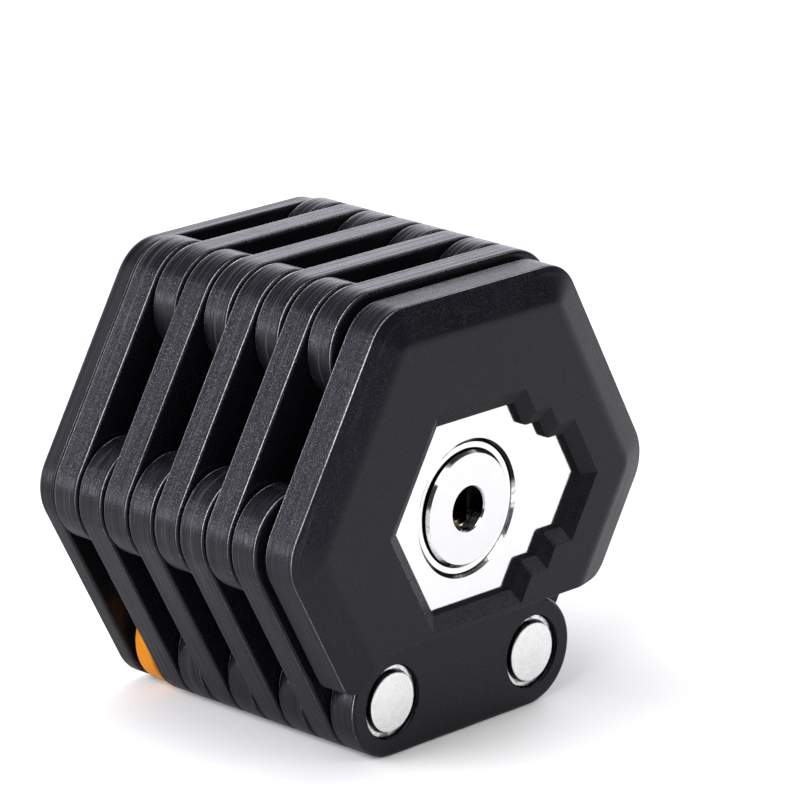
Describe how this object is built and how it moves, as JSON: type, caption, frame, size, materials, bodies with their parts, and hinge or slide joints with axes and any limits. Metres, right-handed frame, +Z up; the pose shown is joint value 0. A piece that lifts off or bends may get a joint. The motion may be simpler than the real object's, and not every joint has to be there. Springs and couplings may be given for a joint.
{
  "type": "folding bicycle lock",
  "caption": "Folding bicycle lock, folded: flat riveted links wound round a hexagon between a keyed head and an end plate with an orange lug",
  "frame": {"origin": "centre of the footprint, on the surface the folded lock stands on", "axes": "+Z up, the keyed head looks along -Y, X across, the hexagonal prism runs along Y"},
  "size_m": [0.0892, 0.061, 0.0798],
  "materials": {
    "link_coating": "satin black plastic coat on hardened steel, fine grain",
    "rivet_steel": "flat turned heads, lightly mottled",
    "end_plate_coating": "satin black coat",
    "lug_orange": "satin orange coat on steel",
    "head_coating": "charcoal satin coat, finely grained sides",
    "base_plate_coating": "satin black coat on steel",
    "trim_chrome": "polished",
    "bezel_steel": "polished ring",
    "barrel_steel": "fine turned face",
    "plug_steel": "turned steel",
    "disc_brass": "stamped",
    "bolt_steel": "ground steel",
    "case_zinc": "black zinc cup",
    "screw_steel": "black oxide"
  },
  "bodies": {
    "head": {"head_shell": "head_coating", "head_base_plate": "base_plate_coating", "escutcheon_plate": "trim_chrome", "cylinder_bezel": "bezel_steel", "lock_barrel": "barrel_steel", "lock_case": "case_zinc", "case_screws": "screw_steel", "plate_screws": "screw_steel", "rivet_01": "rivet_steel"},
    "plug": {"key_plug": "plug_steel", "detainer_discs": "disc_brass"},
    "bolt": {"locking_bolt": "bolt_steel"},
    "segment_01": {"link_01": "link_coating"},
    "segment_02": {"link_02": "link_coating", "rivet_02": "rivet_steel"},
    "segment_03": {"link_03": "link_coating", "rivet_03": "rivet_steel", "rivet_04": "rivet_steel"},
    "segment_04": {"link_04": "link_coating"},
    "segment_05": {"link_05": "link_coating", "rivet_05": "rivet_steel"},
    "segment_06": {"link_06": "link_coating", "rivet_06": "rivet_steel", "rivet_07": "rivet_steel"},
    "segment_07": {"link_07": "link_coating"},
    "segment_08": {"link_08": "link_coating", "rivet_08": "rivet_steel"},
    "segment_09": {"link_09": "link_coating", "rivet_09": "rivet_steel", "rivet_10": "rivet_steel"},
    "segment_10": {"link_10": "link_coating"},
    "segment_11": {"link_11": "link_coating", "rivet_11": "rivet_steel"},
    "segment_12": {"link_12": "link_coating", "rivet_12": "rivet_steel", "rivet_13": "rivet_steel"},
    "segment_13": {"link_13": "link_coating"},
    "segment_14": {"link_14": "link_coating", "rivet_14": "rivet_steel"},
    "segment_15": {"link_15": "link_coating", "rivet_15": "rivet_steel", "rivet_16": "rivet_steel"},
    "segment_16": {"link_16": "link_coating"},
    "segment_17": {"link_17": "link_coating", "rivet_17": "rivet_steel"},
    "segment_18": {"link_18": "link_coating", "rivet_18": "rivet_steel", "rivet_19": "rivet_steel"},
    "segment_19": {"link_19": "link_coating"},
    "segment_20": {"link_20": "link_coating", "rivet_20": "rivet_steel"},
    "segment_21": {"link_21": "link_coating", "rivet_21": "rivet_steel", "rivet_22": "rivet_steel"},
    "segment_22": {"link_22": "link_coating"},
    "segment_23": {"link_23": "link_coating", "rivet_23": "rivet_steel"},
    "end": {"end_plate": "end_plate_coating", "locking_lug": "lug_orange", "rivet_24": "rivet_steel"}
  },
  "joints": [
    {"name": "fold_01", "type": "hinge", "parent": "head", "child": "segment_01", "pos_m": [0.0175, -0.02165, 0.0096], "axis": [0, -1, 0], "range_deg": [0, 120]},
    {"name": "fold_02", "type": "hinge", "parent": "segment_01", "child": "segment_02", "pos_m": [-0.0175, -0.02165, 0.0096], "axis": [0, -1, 0], "range_deg": [0, 120]},
    {"name": "fold_03", "type": "hinge", "parent": "segment_02", "child": "segment_03", "pos_m": [-0.035, -0.01565, 0.03991], "axis": [0, -1, 0], "range_deg": [0, 120]},
    {"name": "fold_04", "type": "hinge", "parent": "segment_03", "child": "segment_04", "pos_m": [-0.0175, -0.01565, 0.07022], "axis": [0, -1, 0], "range_deg": [0, 120]},
    {"name": "fold_05", "type": "hinge", "parent": "segment_04", "child": "segment_05", "pos_m": [0.0175, -0.01565, 0.07022], "axis": [0, -1, 0], "range_deg": [0, 120]},
    {"name": "fold_06", "type": "hinge", "parent": "segment_05", "child": "segment_06", "pos_m": [0.035, -0.00965, 0.03991], "axis": [0, -1, 0], "range_deg": [0, 120]},
    {"name": "fold_07", "type": "hinge", "parent": "segment_06", "child": "segment_07", "pos_m": [0.0175, -0.00965, 0.0096], "axis": [0, -1, 0], "range_deg": [0, 120]},
    {"name": "fold_08", "type": "hinge", "parent": "segment_07", "child": "segment_08", "pos_m": [-0.0175, -0.00965, 0.0096], "axis": [0, -1, 0], "range_deg": [0, 120]},
    {"name": "fold_09", "type": "hinge", "parent": "segment_08", "child": "segment_09", "pos_m": [-0.035, -0.00365, 0.03991], "axis": [0, -1, 0], "range_deg": [0, 120]},
    {"name": "fold_10", "type": "hinge", "parent": "segment_09", "child": "segment_10", "pos_m": [-0.0175, -0.00365, 0.07022], "axis": [0, -1, 0], "range_deg": [0, 120]},
    {"name": "fold_11", "type": "hinge", "parent": "segment_10", "child": "segment_11", "pos_m": [0.0175, -0.00365, 0.07022], "axis": [0, -1, 0], "range_deg": [0, 120]},
    {"name": "fold_12", "type": "hinge", "parent": "segment_11", "child": "segment_12", "pos_m": [0.035, 0.00235, 0.03991], "axis": [0, -1, 0], "range_deg": [0, 120]},
    {"name": "fold_13", "type": "hinge", "parent": "segment_12", "child": "segment_13", "pos_m": [0.0175, 0.00235, 0.0096], "axis": [0, -1, 0], "range_deg": [0, 120]},
    {"name": "fold_14", "type": "hinge", "parent": "segment_13", "child": "segment_14", "pos_m": [-0.0175, 0.00235, 0.0096], "axis": [0, -1, 0], "range_deg": [0, 120]},
    {"name": "fold_15", "type": "hinge", "parent": "segment_14", "child": "segment_15", "pos_m": [-0.035, 0.00835, 0.03991], "axis": [0, -1, 0], "range_deg": [0, 120]},
    {"name": "fold_16", "type": "hinge", "parent": "segment_15", "child": "segment_16", "pos_m": [-0.0175, 0.00835, 0.07022], "axis": [0, -1, 0], "range_deg": [0, 120]},
    {"name": "fold_17", "type": "hinge", "parent": "segment_16", "child": "segment_17", "pos_m": [0.0175, 0.00835, 0.07022], "axis": [0, -1, 0], "range_deg": [0, 120]},
    {"name": "fold_18", "type": "hinge", "parent": "segment_17", "child": "segment_18", "pos_m": [0.035, 0.01435, 0.03991], "axis": [0, -1, 0], "range_deg": [0, 120]},
    {"name": "fold_19", "type": "hinge", "parent": "segment_18", "child": "segment_19", "pos_m": [0.0175, 0.01435, 0.0096], "axis": [0, -1, 0], "range_deg": [0, 120]},
    {"name": "fold_20", "type": "hinge", "parent": "segment_19", "child": "segment_20", "pos_m": [-0.0175, 0.01435, 0.0096], "axis": [0, -1, 0], "range_deg": [0, 120]},
    {"name": "fold_21", "type": "hinge", "parent": "segment_20", "child": "segment_21", "pos_m": [-0.035, 0.02035, 0.03991], "axis": [0, -1, 0], "range_deg": [0, 120]},
    {"name": "fold_22", "type": "hinge", "parent": "segment_21", "child": "segment_22", "pos_m": [-0.0175, 0.02035, 0.07022], "axis": [0, -1, 0], "range_deg": [0, 120]},
    {"name": "fold_23", "type": "hinge", "parent": "segment_22", "child": "segment_23", "pos_m": [0.0175, 0.02035, 0.07022], "axis": [0, -1, 0], "range_deg": [0, 120]},
    {"name": "fold_24", "type": "hinge", "parent": "segment_23", "child": "end", "pos_m": [0.035, 0.02635, 0.03991], "axis": [0, -1, 0], "range_deg": [0, 120]},
    {"name": "key_turn", "type": "hinge", "parent": "head", "child": "plug", "pos_m": [-0.0005, -0.0215, 0.03991], "axis": [0, 1, 0], "range_deg": [0, 90]},
    {"name": "bolt_slide", "type": "slide", "parent": "head", "child": "bolt", "axis": [0.5, 0, 0.866], "range_m": [0, 0.005]}
  ],
  "couplings": [
    {"joint": "bolt_slide", "follows": "key_turn", "m_per_rad": 0.0031511}
  ]
}
